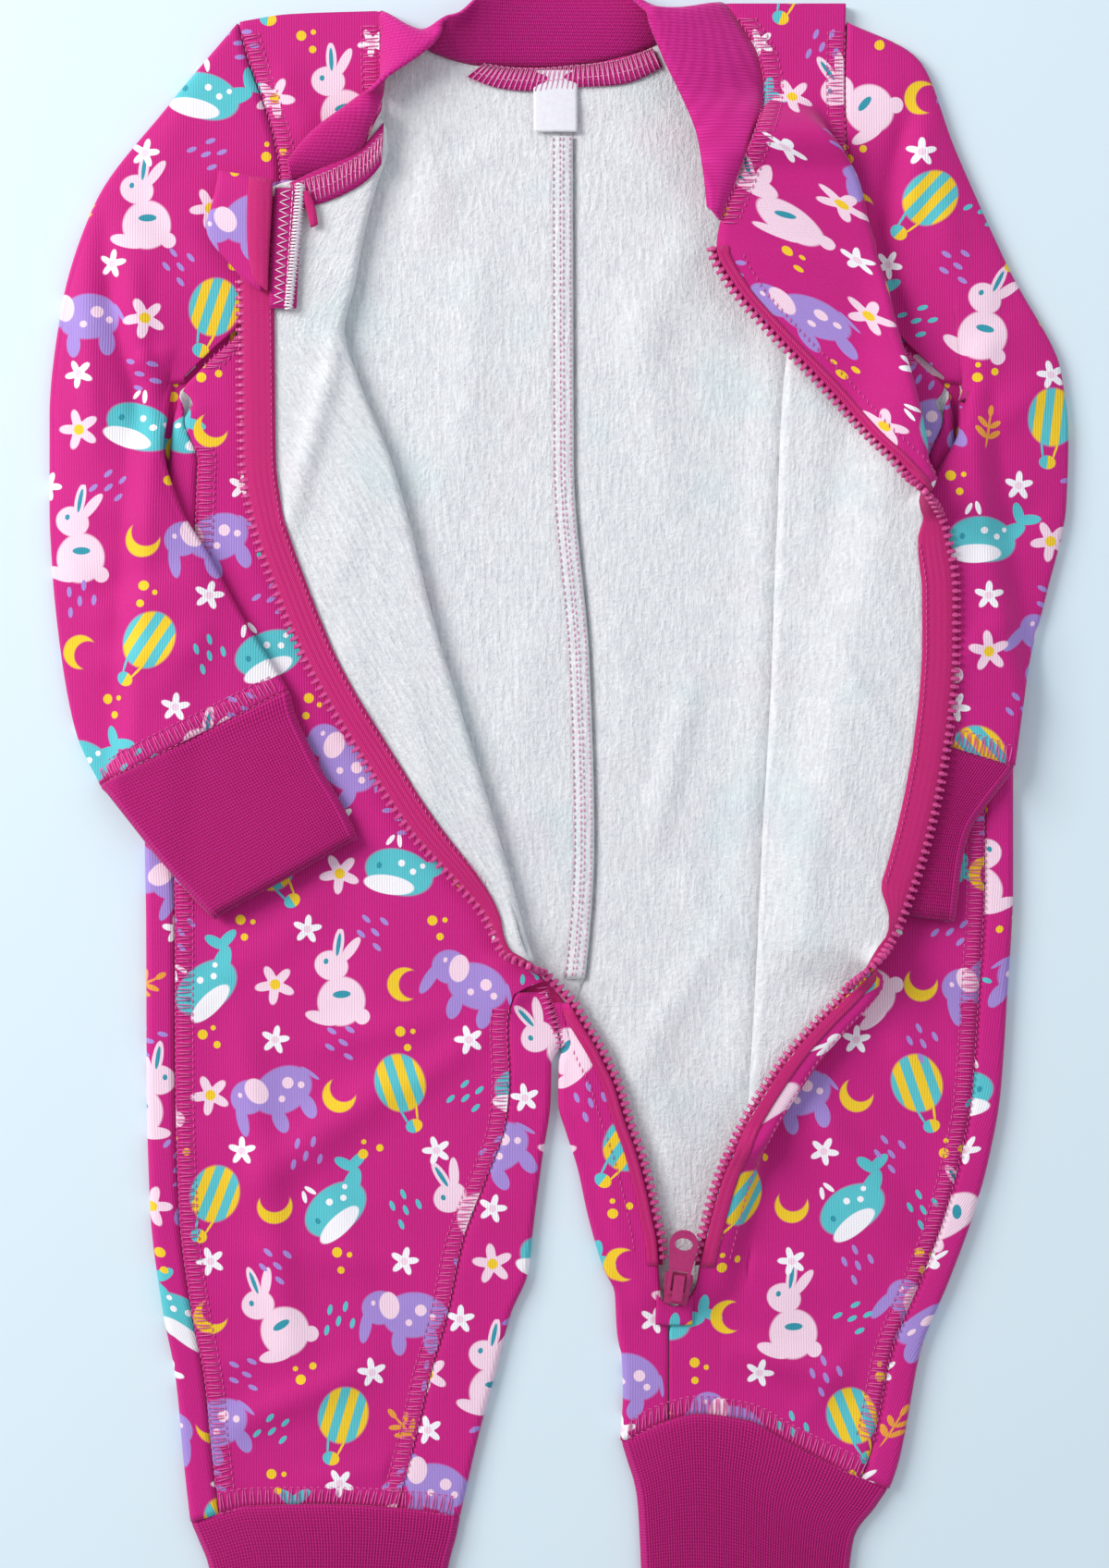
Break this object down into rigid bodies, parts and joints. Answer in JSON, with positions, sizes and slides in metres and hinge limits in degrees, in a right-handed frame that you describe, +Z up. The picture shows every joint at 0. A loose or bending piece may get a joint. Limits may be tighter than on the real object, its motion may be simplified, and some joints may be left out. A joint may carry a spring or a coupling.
{
  "type": "infant one-piece base layer",
  "caption": "Fleece-lined infant one-piece laid flat on its back with the front zip undone and both zip edges turned back; rib collar and cuffs, long sleeves and legs.",
  "frame": {"origin": "on the table, under the right back panel, a few millimetres from the centre back seam at mid height", "axes": "+X towards the wearer's left, +Y towards the collar, +Z up from the table"},
  "size_m": [0.3868, 0.6393, 0.0281],
  "materials": {
    "print_cloth": "matt knit",
    "fleece": "brushed fleece",
    "rib": "matt rib knit",
    "tape": "woven tape",
    "teeth": "satin",
    "slider": "enamel",
    "label": "satin weave"
  },
  "bodies": {
    "garment": {"back_right": "print_cloth", "back_left": "print_cloth", "front_right": "print_cloth", "front_left": "print_cloth", "inner_leg_right": "print_cloth", "inner_leg_left": "print_cloth", "sleeve_right": "print_cloth", "sleeve_left": "print_cloth", "wrist_cuff_right": "rib", "wrist_cuff_left": "rib", "ankle_cuff_right": "rib", "ankle_cuff_left": "rib", "collar": "rib", "zip_tape_right": "tape", "zip_tape_left": "tape", "zip_chain_right": "teeth", "zip_chain_left": "teeth", "back_seam_allowance": "fleece", "neck_label": "label", "chin_guard": "print_cloth", "chin_guard_binding": "rib", "zip_end_patch": "print_cloth", "zip_slider": "slider"},
    "pull_tab": {"zip_pull": "slider"}
  },
  "joints": [
    {"name": "pull_tab_hinge", "type": "hinge", "parent": "garment", "child": "pull_tab", "pos_m": [0.04618, -0.19178, 0.0118], "axis": [0.9902, -0.1395, 0], "range_deg": [0, 150]}
  ]
}
